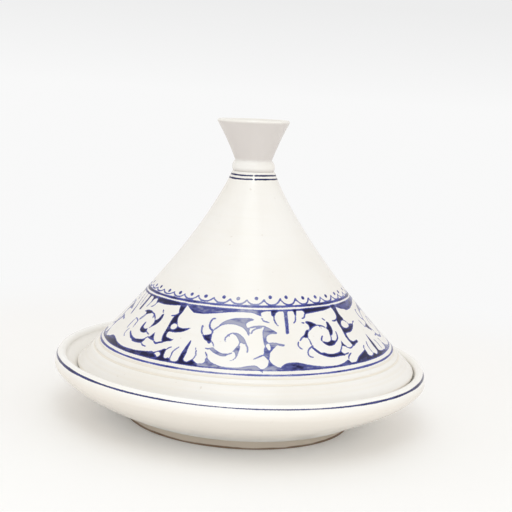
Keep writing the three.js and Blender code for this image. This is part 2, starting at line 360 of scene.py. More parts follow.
    (0.68, [12.6, 29, 12.9, 31.5, 13.9, 33.5, 15.2, 35, 16.7, 35.6, 18.4, 35.75, 20.2, 35.5, 22.1, 34.5,
      24.3, 33.25, 26.5, 32.25, 28.65, 31.5, 30.2, 30.9, 35.2, 30.5, 36.8, 30.7, 38.7, 31.25, 40.6, 32.25,
      42.2, 33.5, 42.8, 33.25, 43.2, 32, 43.6, 30.5, 43.8, 29]),
    (navy, [45.3, 29, 45.6, 29.75, 47.2, 32, 49.3, 34.5, 51.9, 36.25, 54.5, 37.75, 55.6, 38.25, 56, 36.5,
      55.8, 34.5, 56.1, 33, 57.2, 31.75, 57.8, 29]),
]

# The same motif begins again on the right, and ends on the left, each time with another turn of the brush.
rightUnit = [
    (navy, [49.9, 80.2, 50.4, 76.75, 50.6, 74, 50.4, 71.5, 49.8, 69.5, 48.9, 68.25, 48.5, 66, 48.5, 63,
      48.7, 59, 48.5, 55.5, 48.3, 52.5, 48.7, 49.5, 49.3, 46, 49.7, 44, 50.3, 43.25, 52.4, 44.75, 54.3, 45.5,
      54.8, 46.5, 54.5, 47.75, 53.5, 47.75, 51.9, 47.25, 50.6, 48.25, 49.9, 50, 50, 54.5, 51.4, 55, 53.5, 55,
      55.6, 56, 57.7, 58, 59.3, 60, 60.4, 62, 58.7, 61.25, 57.7, 62, 56.4, 62, 55.5, 64.2, 54.3, 66.6,
      54.4, 68, 53.9, 69.5, 53.6, 71.5, 53.7, 75, 54.1, 80.2]),
    ("hole", [50.3, 62, 50.8, 64, 51.9, 65.5, 53.5, 65.75, 54.8, 64, 55.6, 62, 55.3, 60.75, 54.3, 59.5,
      52.4, 59.25, 51.1, 60]),
    (navy, 1.1, [49, 68, 47.8, 67.1, 46.6, 67, 45.5, 67.3]),
    (blue, 1.0, [60.2, 61.9, 61.2, 62.5, 62.1, 62.8]),
    (blue, [54, 80.2, 55, 77.5, 56.4, 76.5, 57.7, 75.5, 59.8, 74.75, 64.3, 74.25, 66.9, 74.75, 72, 75.75,
      80, 76.6, 88, 76.8, 92, 76, 96, 74, 97.6, 73, 97, 76, 98, 80]),
    (navy, [56.4, 29, 57.2, 31.75, 58.7, 32.25, 60, 33.5, 60.8, 33, 61.6, 31.75, 62.9, 32, 64, 34, 63.7, 39,
      64, 44, 64.4, 48, 64.8, 50.2, 64.8, 50.2, 65.6, 44, 66, 39, 65.8, 34.5, 66.6, 33, 69, 31.8, 71.5, 31.6,
      72, 29]),
    (blue, 0.95, [55.8, 38.2, 55.8, 40, 57, 41.75]),
    (blue, 0.95, [59.8, 33.6, 59.4, 37.5, 59.7, 41, 60.6, 44]),
    (wash, 0.95, [70, 33, 70, 35, 69.5, 40, 68.5, 42.5]),
    (wash, 0.95, [67.9, 62, 68.6, 58.5, 69.3, 56]),
    (wash, 0.95, [69.3, 55, 70.6, 54.6, 72, 53.75]),
]

leftUnit = [
    (navy, [-67.6, 79, -66.9, 76, -66.9, 70, -66.8, 64, -65.9, 63.3, -65, 64, -64.9, 70, -64.9, 76,
      -64.3, 79]),
    (navy, [-61.9, 79.3, -61.5, 76.5, -61.2, 74.5, -60.7, 72.7, -59.9, 72.7, -59.8, 74.5, -59.4, 76,
      -58.1, 77.25, -56.8, 77.25, -56.2, 75.5, -55.7, 74, -54.6, 74, -53.8, 74.75, -52, 74.6, -48.3, 74.6,
      -45.7, 75, -41.7, 75.75, -39.1, 76.5, -36.6, 77.25, -36.4, 79.6]),
    (navy, 1.0, [-76.5, 77, -74.5, 70, -72.5, 63]),
    (blue, [-73.5, 66, -72.6, 60, -71.4, 56, -70.9, 58, -71.6, 62, -72.6, 66]),
    (blue, 0.9, [-71.5, 78, -70.5, 72, -69.5, 67]),
    (wash, 0.95, [-60.5, 73, -60.9, 70, -61.5, 68]),
    (blue, 0.95, [-55.1, 74, -55.5, 72, -56.2, 70.5, -57.5, 69.5]),
    (navy, [-59.8, 64.25, -58.3, 66, -55.7, 66.75, -53.6, 66.5, -52, 65.25, -52, 65.25, -53.8, 64,
      -55.2, 63.25, -56.5, 61.75, -57.3, 62.5, -57.9, 63.9]),
    (navy, 1.0, [-52.6, 65.2, -51.2, 64.8, -50.2, 63.75, -48.8, 62.25, -47.8, 60.5]),
    (blue, 0.8, [-50.6, 63.4, -50.4, 62, -49.8, 61]),
    (wash, 1.9, [-57, 61.2, -57.8, 59, -58.6, 57]),
    (navy, 0.95, [-46.7, 70, -46.1, 69, -45.6, 67.8]),
    (navy, [-45.4, 66.5, -44.6, 67, -44, 65.25, -43.8, 62.5, -44.2, 59.5, -45.2, 56.5, -46.5, 54.5,
      -48.3, 51.5, -48.3, 51.5, -47.5, 55, -47.3, 58, -47.7, 60, -46.7, 60.75, -45.9, 62.5, -45.6, 65]),
    (navy, [-52.5, 57, -53.2, 55, -53.4, 52, -53.1, 49.5, -52, 47.75, -50.4, 47.1, -48.8, 47.5, -48.1, 48.75,
      -48.6, 52, -49.6, 51, -51.2, 51.25, -51.9, 52.5, -52, 54.5]),
    (navy, 0.95, [-48.3, 49.4, -46.7, 48, -45.6, 47.5]),
    (wash, 0.95, [-62.3, 56.5, -60.4, 55.75, -59.1, 54.5, -59, 51.5, -58.8, 48]),
    (wash, 0.95, [-62.5, 56, -63.1, 51.5, -63.3, 47.5, -62.8, 46]),
    (wash, 0.95, [-60.7, 46.5, -61.5, 44, -61.2, 41, -59.9, 39]),
    (navy, [-58.3, 45.5, -56.2, 43.25, -53.6, 41.5, -51.5, 41, -49.4, 41.5, -47.5, 42.25, -46.2, 43.5,
      -45.7, 42.5, -46.3, 39.5, -47.3, 38.5, -49.6, 38, -52.5, 38, -53.6, 39.25, -55.2, 40, -57.3, 42.5,
      -58.6, 44.5]),
    (blue, 0.95, [-46.6, 39.2, -45.2, 37.75, -43, 37.25]),
    (blue, 0.95, [-46.3, 43.1, -45.6, 44.4, -44.9, 45.5]),
    (navy, [-44.9, 44.75, -44.1, 46.5, -43.4, 49, -42.9, 51, -42.9, 51, -42.3, 48.5, -41.7, 46, -40.7, 44,
      -40.4, 43, -43, 43.75]),
    (navy, [-76, 29, -75, 31.5, -72, 33, -70.9, 34.25, -69.4, 35.25, -67.3, 35.25, -64.6, 34.25,
      -61.5, 32.75, -58.8, 32, -55.2, 31.5, -50.9, 31.75, -46.7, 32.25, -43, 33.25, -40.4, 34, -38.1, 34.75,
      -37.6, 29]),
]

# Each row: its shapes, the degrees they are turned by, and where the middle of a shape has to be to be drawn,
# in degrees before it is turned.
scroll = [
    (centreUnit, 0, (-90, 90)),
    (rightUnit, 0, (0, 180)),
    (centreUnit, 90, (-17, 90)),
    (centreUnit, 180, (-90, 90)),
    (centreUnit, 270, (-90, 13)),
    (leftUnit, 0, (-180, 0)),
]

# Cusps of the scalloped line and the dots between them, from the left round the front
cusps = [(-65.9, 85), (-57.5, 85.5), (-47.4, 85.8), (-38.7, 85.8), (-29.3, 86.5), (-19.5, 86.5), (-10, 86.5),
         (-0.7, 86.5), (8.8, 87), (18.3, 88), (27.7, 88), (36.5, 87.6), (45.8, 87.25), (56, 87), (64.3, 86.5)]
dots = [(-69.9, 87), (-62.8, 87.75), (-51.9, 87), (-42.4, 87.4), (-33.8, 88), (-24.5, 88), (-13.7, 88.9),
        (-5.5, 88.5), (4.7, 89.25), (12.65, 90.5), (22.2, 90.4), (32.9, 89.25), (42.1, 89.1), (51.2, 88.6),
        (61.2, 89), (67.6, 89.25)]
# Cusps all round, the height the line hangs to, and how much lighter line and dots are in front, which is
# painted highlight
scallops = {
    "around": 39,
    "sag": 84.0,
    "flatness": 2.6,
    "width": 0.95,
    "tone": 0.55,
    "cuspRise": 1.1,
    "dotRise": 1.9,
    "dotHalf": (1.1, 1.6),
    "dotTone": 0.7,
    "highlightLift": 0.35,
}

# Painted lines right round the lid: height up the flank, lean to the right, full width, depth of colour
paintedLines = [
    (25.3, 0.0, 1.5, 0.45),
    (29.6, 0.3, 1.7, 0.85),
    (79.0, 0.6, 1.5, 0.75),
    (82.4, 0.55, 2.0, 0.6),
]
# The two at the neck: height up the flank, full width, depth of colour
neckLines = [(192.2, 1.4, 1.4), (195.3, 1.35, 1.4)]
# How much lighter the scroll and the painted lines are in front, as painted highlight of the lamp's
# reflection, and how far a shape's paint is looked for
paintedHighlight = 0.3
nearby = (5, 3)
# Depth inside the paint beyond which nothing changes
deepest = 3


def frontHighlight(degrees):
    # Where the painted highlight lies: e^(-x^2), with x the way from just left of the front in steps of 15
    # degrees
    return np.exp(-((degrees + 4) / 15) ** 2)


def allCusps():
    # The front ones as seen, the others at even steps round the back
    count = scallops["around"] - len(cusps) + 1
    first, last = np.array(cusps[0]), np.array(cusps[-1])
    share = np.linspace(0, 1, count + 1)[1:, None]
    back = last + share * (first + (360, 0) - last)
    return np.vstack([cusps, back]) + (0, scallops["cuspRise"])


def scallopShapes():
    # Between two cusps the line hangs by sag (1 - |2 share - 1|^flatness), and a dot sits above its middle
    shapes = []
    points = allCusps()
    share = np.array([0, 0.05, 0.14, 0.3, 0.5, 0.7, 0.86, 0.95, 1, 1.05])
    for start, end in zip(points[:-1], points[1:]):
        path = start + (end - start) * share[:, None]
        sag = (start[1] + end[1]) / 2 - scallops["sag"]
        path[:, 1] -= sag * (1 - np.abs(2 * np.minimum(share, 1) - 1) ** scallops["flatness"])
        tone = scallops["tone"] - scallops["highlightLift"] * frontHighlight(start[0])
        shapes.append((tone, scallops["width"], path))
    middles = (points[len(cusps) - 1:-1] + points[len(cusps):]) / 2 + (0, scallops["dotRise"])
    ring = np.linspace(0, fullTurn, 10, endpoint=False)
    for centre in np.vstack([dots, middles[1:-1]]):
        tone = scallops["dotTone"] - scallops["highlightLift"] * frontHighlight(centre[0])
        shapes.append((tone, centre + np.c_[np.cos(ring), np.sin(ring)] * scallops["dotHalf"]))
    return shapes


def paintedLid(degrees, height, radius):
    # Depth inside the paint at every point, the largest of all shapes, and that shape's tone
    ink = np.full(degrees.shape, resting["ink"])
    tone = np.full(degrees.shape, resting["tone"])

    def paint(shape, turn):
        # One shape, with the degrees made millimetres round the lid at the shape's own height
        shade = shape[0]
        points = np.array(shape[-1], float).reshape(-1, 2) + (turn, 0)
        isStroke = len(shape) == 3
        if isStroke:
            middle = np.linspace(-1, 1, len(points))
            half = shape[1] * strokeSpread * (1.0 - 0.25 * middle ** 4)
            points = np.c_[points, half]
        low = points.min(0)[:2] - nearby
        high = points.max(0)[:2] + nearby
        across = (degrees - low[0]) % 360 + low[0]
        near = np.flatnonzero((across < high[0]) & (height > low[1]) & (height < high[1]))
        if not len(near):
            return
        order = near[np.argsort(height[near])]
        scale = np.radians(1) * np.interp(points[:, 1].mean(), height[order], radius[order])
        places = np.c_[across[near] * scale, height[near]]
        points[:, 0] *= scale
        path = smoothPath(points, not isStroke)
        depth = strokeDepth(places, path) if isStroke else patchDepth(places, path)
        if shade == "hole":
            ink[near] = np.minimum(ink[near], -depth)
            return
        stronger = depth > ink[near]
        ink[near[stronger]] = depth[stronger]
        # Lighter in front: painted highlight
        tone[near[stronger]] = shade - paintedHighlight * frontHighlight(degrees[near[stronger]])

    for shapes, turn, (first, last) in scroll:
        for shape in shapes:
            middle = np.mean(shape[-1][::2])
            if first < middle < last:
                paint(shape, turn)
    for shape in scallopShapes():
        paint(shape, 0)
    angle = np.radians(degrees)
    for centre, lean, width, shade in paintedLines:
        wobble = 0.12 * np.sin(9 * angle + centre) + 0.1 * np.sin(23 * angle + 2 * centre)
        # Darker and wider towards the sides and paler in front; the paler front is partly painted highlight
        darkening = np.sin(angle) ** 2
        half = width / 2 * (1 + wobble + 0.15 * darkening)
        depth = half - np.abs(height - centre - lean * np.sin(angle) - 0.1 * wobble)
        lineTone = np.minimum(shade + 0.6 * darkening, 1.15) - paintedHighlight * frontHighlight(degrees)
        stronger = depth > ink
        ink[stronger] = depth[stronger]
        tone[stronger] = lineTone[stronger]
    return np.clip(ink, -deepest, deepest), tone


# Corners of the dish are radius and height. A pair of heights is where something begins and is full.
# Fuller is how much lower the belly hangs on the left.
dishShape = {
    "columns": 360,
    "underside": [(0.6, 3.5), (82.5, 3.5), (84, 0.0), (92.5, 0.0), (91.8, 1.4)],
    "footTop": (90.4, 6.2),
    "belly": [(101.0, 8.9), (147.0, 30.4), (151.5, 41.0)],
    "crest": (147, 51.5),
    "seatOuter": 142.5,
    "seatInner": 126.5,
    "seatCentre": 206.3,
    "seatSphere": 213.8,
    "wellCorner": (95.91, 11.5),
    "floor": (60, 11.5),
    "fuller": 0.9,
    "handMade": 0.16,
    "lineHeight": 48.75,
    "lineWidth": 0.85,
    "sideWidth": 1.6,
    "bellyWarmth": 0.9,
    "seatPaintedBounce": 0.25,
    "warmFrom": (13, 20),
    "warmTo": (41, 48.5),
    "mattTo": (30, 46),
    "thinGlazeFrom": (1.2, 1.8),
    "fullGlazeFrom": (6.0, 6.4),
}


def seatHeight(radius):
    # The seat is part of a sphere about a point on the axis: centre - sqrt(sphere^2 - radius^2)
    return dishShape["seatCentre"] - np.sqrt(dishShape["seatSphere"] ** 2 - radius ** 2)


def makeDish(material):
    # Its outline from the underside over the rim to the floor, turned about the axis
    shape = dishShape
    angle = turns(shape["columns"])
    seatOuter = (shape["seatOuter"], seatHeight(shape["seatOuter"]))
    seatInner = (shape["seatInner"], seatHeight(shape["seatInner"]))
    floorRadius, floorHeight = shape["floor"]
    crestRadius = shape["crest"][0]
    foot = softened(shape["underside"], 0.4)
    footSide = resampled(np.array([shape["underside"][-1], shape["footTop"]]), 0.4)
    bellyCurve = bezier(*shape["belly"], 60)
    under = softened([shape["footTop"], bellyCurve[0], bellyCurve[2]], 1.2)
    belly = joined(under, resampled(bellyCurve[2:], 1.5))
    rimOut = resampled(quarterRound(shape["belly"][-1], shape["crest"], True, 40), 0.4)
    rimIn = resampled(quarterRound(shape["crest"], seatOuter, False, 20), 0.7)
    seatRadius = np.linspace(seatOuter[0], seatInner[0], 9)
    seat = np.c_[seatRadius, seatHeight(seatRadius)]
    well = resampled(bezier(seatInner, shape["wellCorner"], shape["floor"], 40), 3.0)
    floor = np.c_[np.linspace(floorRadius, 0.6, 10), np.full(10, floorHeight)]
    profile = joined(foot, footSide, belly, rimOut, rimIn, seat, well, floor)
    bellyRows = len(joined(foot, footSide, belly))
    outerRows = bellyRows + len(rimOut) - 1
    # The rim's line is darker and wider towards the sides and paler in front; the paler front is partly
    # painted highlight
    darkening = np.sin(angle) ** 2
    lineHeight = shape["lineHeight"] + 0.12 * np.sin(2 * angle + 1) + 0.08 * np.sin(5 * angle)
    lineHalf = (shape["lineWidth"] + shape["sideWidth"] * darkening) / 2
    lineHalf = lineHalf * (1 + 0.1 * np.sin(11 * angle) + 0.08 * np.sin(29 * angle))
    rings = []
    for row, (radius, height) in enumerate(profile):
        # Thrown by hand: a little inwards here and there, and fuller on one side
        outside = (radius > 93) * ramp(height, 7, 20)
        r = radius - uneven(shape, angle, height * 0.2, 5) * outside
        bulge = np.sin(np.pi * ramp(radius, 92, 151)) * ramp(height, 3, 8)
        z = height + shape["fuller"] * np.sin(angle) * bulge * (row < bellyRows)

        # The blue line on the outer half of the rim, where 1 mm of its width is 0.87 mm of height
        depth = lineHalf - np.abs(height - lineHeight) / 0.87
        ink = np.where(radius > crestRadius - 0.1, np.clip(depth, -deepest, deepest), -deepest)

        # Bare clay under the foot, thin glaze on its side, full glaze above it
        bare = np.full(angle.shape, 1.0 if height < 3.6 and radius > 80 else 0.0)
        if radius > 89 and height < 14:
            thin = ramp(height + wander(angle, height, 8, 0.15), *shape["thinGlazeFrom"])
            full = ramp(height + wander(angle, height, 9, 0.06), *shape["fullGlazeFrom"])
            bare = 1 - 0.42 * thin - 0.58 * full

        # A warmer and less shiny belly, and a warmer inside from the seat down, which is painted warm bounce
        # light
        matt = (1 - ramp(height, *shape["mattTo"])) * (row < outerRows)
        pool = shape["seatPaintedBounce"] * (1 - ramp(radius, 142, 146)) * (height > 10)
        if row < outerRows:
            pool = shape["bellyWarmth"] * ramp(height, *shape["warmFrom"])
            pool = pool * (1 - ramp(height, *shape["warmTo"]))
        rings.append({"places": ringAt(angle, r, z), "ink": ink, "tone": 0.5 + 0.5 * darkening, "bare": bare,
                      "pool": pool, "matt": matt})
    return addTurnedPiece("dish_body", rings, material, (0, 0, 3.5), (0, 0, floorHeight))


# The flank and the edge are radius and height. A groove is length up the flank, depth and width.
lidShape = {
    "flank": [(137.2, 45.9), (47.17, 136.03), (17.0, 202.1)],
    "edge": [(136.4, 42.8), (137.2, 43.6), (137.2, 45.9)],
    "wall": 7.0,
    "mouth": 42.8,
    "cavityTop": 189.1,
    "swing": 1.45,
    "band": (24.4, 93.0, 0.7),
    "bandColumns": 640,
    "lineColumns": 320,
    "plainColumns": 160,
    "grooves": [(17.4, 0.95, 3.0), (22.6, 0.85, 2.8), (12.6, 0.3, 3.0), (8.6, 0.25, 3.0)],
    "handMade": 0.22,
}

flankCurve = bezier(*lidShape["flank"], 4000)
flankAlong = lengths(flankCurve)
flankSlope = np.gradient(flankCurve, axis=0)
flankSlope = flankSlope / np.hypot(flankSlope[:, 0], flankSlope[:, 1])[:, None]


def onFlank(along, depth):
    # Point at a length up the flank, moved inwards square to it: point + depth (-slope up, slope across)
    radius, height = (np.interp(along, flankAlong, flankCurve[:, k]) for k in (0, 1))
    acrossSlope, upSlope = (np.interp(along, flankAlong, flankSlope[:, k]) for k in (0, 1))
    return radius - upSlope * depth, height + acrossSlope * depth


def paintLean(height):
    # The painted lines sit a little out of level: none at the edge, full in the middle, none at the neck
    return ramp(height, 0, 9) * (1 - ramp(height, 100, 165))


def swung(places):
    # Turned about the middle of the seat's sphere: x cos a + z sin a, and z cos a - x sin a
    a = -np.radians(lidShape["swing"])
    centre = dishShape["seatCentre"]
    x, y, z = places[:, 0], places[:, 1], places[:, 2] - centre
    return np.c_[x * np.cos(a) + z * np.sin(a), y, -x * np.sin(a) + z * np.cos(a) + centre]


def makeLid(material):
    # Rings from the closed top inside down to the mouth, round the edge and up the flank
    shape = lidShape
    length = flankAlong[-1]
    neck = flankCurve[-1]
    mouth, cavityTop = shape["mouth"], shape["cavityTop"]
    lineColumns, plainColumns = shape["lineColumns"], shape["plainColumns"]
    rings = []

    def addRing(columns, radius, height, **attributes):
        rings.append({"places": swung(ringAt(turns(columns), radius, height)), **attributes})

    # Inside and edge
    radius, height = onFlank(np.linspace(length, 0, 40), shape["wall"])
    inside = (height > mouth) & (height < cavityTop)
    radius, height = radius[inside], height[inside]
    top = np.interp(cavityTop, height[::-1], radius[::-1])
    slope = (radius[-1] - radius[-2]) / (height[-1] - height[-2])
    mouthRadius = radius[-1] + (mouth - height[-1]) * slope
    ceiling = softened([(0.5, cavityTop), (top, cavityTop), (radius[0], height[0])], 2.5)
    inner = joined(ceiling, np.c_[radius, height][1:])
    for r, z in inner[:-1]:
        addRing(plainColumns, r, z)
    base = softened([inner[-1], (mouthRadius, mouth), *shape["edge"], onFlank(1.2, 0)], 0.7)
    # The mouth and the edge get a warmer, darker glaze: painted shade where the lid sits down in the seat
    for r, z in base[:4]:
        addRing(plainColumns, r, z, pool=0.5)
    for r, z in base[4:-1]:
        addRing(lineColumns, r, z, bare=0.3 * max(0, 1 - abs(z - 45.6) / 1.2), pool=0.5)

    # Outside, by length up the flank in the painter's own lines: close rows where there are lines or grooves
    low = np.r_[np.arange(1.2, 15.6, 1.8), np.arange(16.0, 24.4, 0.45)]
    band = np.arange(*shape["band"])
    high = np.r_[np.arange(94.5, 190.4, 2.4), np.arange(190.9, 196.9, 0.4), [197.4, length]]
    rows = np.r_[low, band, high]
    columns = np.full(len(rows), lineColumns)
    columns[len(low):len(low) + len(band)] = shape["bandColumns"]
    columns[(rows > 97) & (rows <= 188)] = plainColumns
    draft = []
    for row, count in zip(rows, columns):
        angle = turns(count)
        along = row + paintLean(row) * (1.0 * np.cos(angle) - 0.4 * np.sin(angle))
        depth = uneven(shape, angle, row, 3) * ramp(row, 3, 14)
        depth = depth * (1 - ramp(row, 186, 197))
        pool = 0.0
        for centre, groove, width in shape["grooves"]:
            # Cut as a wave: depth (1 + cos(pi share)) / 2
            cut = 0.5 + 0.5 * np.cos(np.pi * np.clip(np.abs(row - centre) / (width / 2), 0, 1))
            depth = depth + groove * cut
            # The grooves also get a warmer, darker glaze: partly glaze pooled in them, partly painted shade
            pool = max(pool, min(1.0, groove) * cut)
        radius, height = onFlank(np.minimum(along, length), depth)
        draft.append((angle, np.full(count, row), radius, height, pool))
    allAngles, allRows, allRadii = (np.concatenate([d[k] for d in draft]) for k in (0, 1, 2))
    degrees = (np.degrees(allAngles) + 180) % 360 - 180
    ink, tone = paintedLid(degrees, allRows, allRadii)
    for centre, width, shade in neckLines:
        # Uneven lines right round, with a gap just right of the front: painted highlight where the lamp's
        # reflection crosses them
        wobble = 1 + 0.1 * np.sin(5 * allAngles) + 0.06 * np.sin(13 * allAngles + 1)
        highlightGap = 0.8 * np.exp(-((degrees - 1) / 1.8) ** 2)
        depth = width / 2 * wobble - np.abs(allRows - centre - 0.15 * np.sin(3 * allAngles)) - highlightGap
        stronger = depth > ink
        ink[stronger] = depth[stronger]
        tone[stronger] = shade
    done = 0
    for angle, row, radius, height, pool in draft:
        part = slice(done, done + len(angle))
        done += len(angle)
        addRing(len(angle), radius, height, ink=ink[part], tone=tone[part], pool=pool)
    # The closed top of the neck, under the knob
    for r in (13, 8, 4):
        addRing(plainColumns, r, neck[1])
    poles = swung(np.array([[0, 0, cavityTop], [0, 0, neck[1]]]))
    return addTurnedPiece("lid_shell", rings, material, poles[0], poles[1])


# Start, corner and end of each curve, and the middle of the lip's top, as radius and height
knobShape = {
    "columns": 192,
    "bead": [(16.5, 202.4), (18.85, 206.7), (15, 211.0)],
    "flare": [(15, 211.0), (20.7, 226.25), (29.2, 241.5)],
    "crest": (27.5, 243.5),
    "cup": [(25.8, 241.5), (9, 223.5), (0.4, 223.5)],
    "lean": 1.5,
    "handMade": 0.16,
    "shadeFrom": (209.5, 212.5),
    "shadeTo": (240.8, 242.2),
    "seamShade": 0.9,
}


def makeKnob(material):
    # Turned, and leaning to the left by lean (height - base) / (crest - base)
    shape = knobShape
    angle = turns(shape["columns"])
    base = shape["bead"][0][1]
    crest = shape["crest"][1]
    cupFloor = shape["cup"][-1][1]
    seam = np.array([(0.5, base - 0.8), (15.2, base - 0.8), (16.2, base - 0.3)])
    bead = resampled(bezier(*shape["bead"], 40), 0.5)
    flare = resampled(bezier(*shape["flare"], 60), 0.9)
    lip = joined(quarterRound(shape["flare"][-1], shape["crest"], True, 7),
                 quarterRound(shape["crest"], shape["cup"][0], False, 7))
    cup = resampled(bezier(*shape["cup"], 60), 1.1)
    profile = joined(seam, bead, flare, lip, cup)
    rings = []
    for radius, height in profile:
        r = radius - uneven(shape, angle, height * 3, 11) * ramp(radius, 12, 16) * (height < crest - 0.5)
        places = ringAt(angle, r, height) - (shape["lean"] * (height - base) / (crest - base), 0, 0)
        # Painted shade on the flare, which faces down, and in the crease under the bead
        pool = ramp(height, *shape["shadeFrom"]) * (1 - ramp(height, *shape["shadeTo"]))
        pool = max(pool * (radius > 14), shape["seamShade"] * (1 - ramp(height, base, base + 2.8)))
        rings.append({"places": swung(places), "pool": pool})
    lean = -shape["lean"] * (cupFloor - base) / (crest - base)
    poles = swung(np.array([[0, 0, base - 0.8], [lean, 0, cupFloor]]))
    return addTurnedPiece("knob", rings, material, poles[0], poles[1])


# Colours of the glaze, the clay and the paint, red, green and blue from 0 to 1
glaze = {
    "light": (0.885, 0.870, 0.842),
    "warm": (0.862, 0.835, 0.785),
    "clay": (0.22, 0.155, 0.11),
    "thin": (0.60, 0.53, 0.445),
    # This colour makes the glaze warmer and darker where a point's value asks: partly a warmer glaze, partly
    # painted shade and painted warm bounce light
    "pool": (0.85, 0.79, 0.69),
    "inkDark": (0.006, 0.005, 0.052),
    "inkBlue": (0.075, 0.085, 0.275),
    "inkWash": (0.35, 0.36, 0.48),
    "inkEdge": (0.055, 0.068, 0.33),
    "inkPale": (0.17, 0.2, 0.47),
    "roughness": 0.19,
}
dishGlaze = {
    **glaze,
    "light": (0.94, 0.935, 0.915),
    "warm": (0.93, 0.915, 0.875),
    "pool": (0.835, 0.785, 0.715),
    "inkEdge": (0.026, 0.031, 0.15),
    "inkPale": (0.04, 0.045, 0.17),
}
# On the knob this colour is a grey painted shade
knobGlaze = {**glaze, "pool": (0.69, 0.65, 0.625)}


def nodeMaker(material):
    # Gives a helper that adds a node, links or sets its inputs and returns one of its outputs
    material.use_nodes = True
    tree = material.node_tree
    tree.nodes.clear()

    def add(kind, inputs=None, output=0, **settings):
        node = tree.nodes.new("ShaderNode" + kind)
        for key, value in settings.items():
            setattr(node, key, value)
        for key, value in (inputs or {}).items():
            if isinstance(value, bpy.types.NodeSocket):
                tree.links.new(value, node.inputs[key])
            else:
                node.inputs[key].default_value = value
        return node.outputs[output] if node.outputs else None

    return add


def makeGlaze(name, settings, seed, streaks):
    # White glaze that turns warmer, thinner or to bare clay by the points' values, and the paint over it.
    # Noise frays the borders: value plus something between -reach and reach.
    material = bpy.data.materials.new(name)
    add = nodeMaker(material)
    place = add("TexCoord", output="Object")

    def attribute(key):
        return add("Attribute", attribute_name=key, output="Fac")

    def noise(scale, detail=3.0, stretch=(1, 1, 1), move=0.0):
        move = (move + seed, seed, 0)
        moved = add("Mapping", {"Vector": place, "Scale": stretch, "Location": move})
        return add("TexNoise", {"Vector": moved, "Scale": scale, "Detail": detail}, "Fac")

    def ranged(value, low, high, toLow=0.0, toHigh=1.0):
        ends = {"From Min": low, "From Max": high, "To Min": toLow, "To Max": toHigh}
        return add("MapRange", {"Value": value, **ends}, interpolation_type="SMOOTHSTEP")

    def frayed(value, reach, *grain, low=0.3, high=0.7, move=0.0):
        return maths("ADD", value, ranged(noise(*grain, move=move), low, high, -reach, reach))

    def mixed(share, *colours):
        first, second = ((*c, 1) if isinstance(c, tuple) else c for c in colours)
        return add("Mix", {0: share, 6: first, 7: second}, 2, data_type="RGBA")

    def maths(kind, first, second):
        return add("Math", {0: first, 1: second}, operation=kind)

    # Soft clouds, level streaks left by the turning and a few specks
    cloud = noise(14, 4)
    brushed = noise(9, 5, (1, 1, 26), 3)
    white = mixed(ranged(cloud, 0.35, 0.7), settings["light"], settings["warm"])
    white = mixed(ranged(brushed, 0.45, 0.72, 0.0, streaks), white, settings["warm"])
    speck = ranged(noise(230, 1, move=7), 0.76, 0.80)
    white = mixed(maths("MULTIPLY", speck, 0.35), white, settings["thin"])
    # Warmer glaze on the belly and in the grooves, painted shade on the knob, the grooves and the lid's edge,
    # and painted warm bounce light in the dish
    white = mixed(attribute("pool"), white, settings["pool"])

    # Where the glaze thins out and ends
    bare = frayed(attribute("bare"), 0.06, 60, 4, move=2)
    thinGlaze = ranged(bare, 0.18, 0.5)
    bareClay = ranged(bare, 0.72, 0.95)
    body = mixed(thinGlaze, white, settings["thin"])
    body = mixed(bareClay, body, settings["clay"])

    # The brush leaves more colour in some places, and a blue pen line runs round the wash inside it
    ink = frayed(attribute("ink"), 0.12, 1200, 2, move=5)
    darkening = frayed(attribute("tone"), 0.28, 70, 4, (1, 1, 3), low=0.28, high=0.72, move=6)
    darkening = frayed(darkening, 0.16, 210, 3, (1, 1, 3), move=8)
    colour = mixed(ranged(darkening, 0.0, 0.45), settings["inkWash"], settings["inkBlue"])
    colour = mixed(ranged(darkening, 0.45, 0.95), colour, settings["inkDark"])
    outline = ranged(frayed(ink, 0.25, 150, 2, move=11), 0.4, 1.05, 0.95, 0.0)
    edge = maths("MULTIPLY", outline, ranged(darkening, -0.3, 0.4, 0.45, 1.0))
    edge = maths("MULTIPLY", edge, ranged(attribute("tone"), 1.05, 1.3, 1.0, 0.15))
    penBlue = mixed(ranged(darkening, 0.1, 0.8), settings["inkPale"], settings["inkEdge"])
    colour = mixed(edge, colour, penBlue)
    cover = ranged(ink, -0.17, 0.17)
    colour = mixed(cover, body, colour)

    # Faint rings of the throwing, an uneven surface, and less shine on thin glaze, paint and the belly
    thrown = {"Height": noise(7, 1, (0.6, 0.6, 30), 1), "Strength": 0.12, "Distance": 0.0008}
    thrown = add("Bump", thrown)
    rippled = {"Height": noise(40, 1, move=9), "Strength": 0.02, "Distance": 0.0008, "Normal": thrown}
    rippled = add("Bump", rippled)
    rough = ranged(noise(38, 3, move=4), 0.3, 0.7, settings["roughness"] - 0.05, settings["roughness"] + 0.08)
    rough = maths("ADD", rough, maths("MULTIPLY", thinGlaze, 0.45))
    shine = ranged(attribute("matt"), 0.0, 1.0, 0.5, 0.06)
    shine = maths("SUBTRACT", shine, maths("MULTIPLY", cover, 0.22))
    look = {"Base Color": colour, "Roughness": rough, "IOR": 1.5, "Specular IOR Level": shine}
    shader = add("BsdfPrincipled", {**look, "Normal": rippled})
    add("OutputMaterial", {"Surface": shader})
    return material


# Every glaze has its own place in the noise and its own strength of streaks
dish = makeDish(makeGlaze("dish_glaze_white", dishGlaze, 0.0, 0.35))
lid = makeLid(makeGlaze("lid_glaze_white", glaze, 1.3, 0.4))
knob = makeKnob(makeGlaze("knob_glaze_white", knobGlaze, 2.6, 0.5))
# Each piece with the node that it replaces, the body that it rides on and its slot
pieces = (
    (dish, "dish", "dish", "dish_glaze"),
    (lid, "lid", "lid", "lid_glaze"),
    (knob, "lid_knob", "lid", "knob_glaze"),
)
for piece, node, body, slot in pieces:
    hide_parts(node)
    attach(piece, body)
say("pieces made")

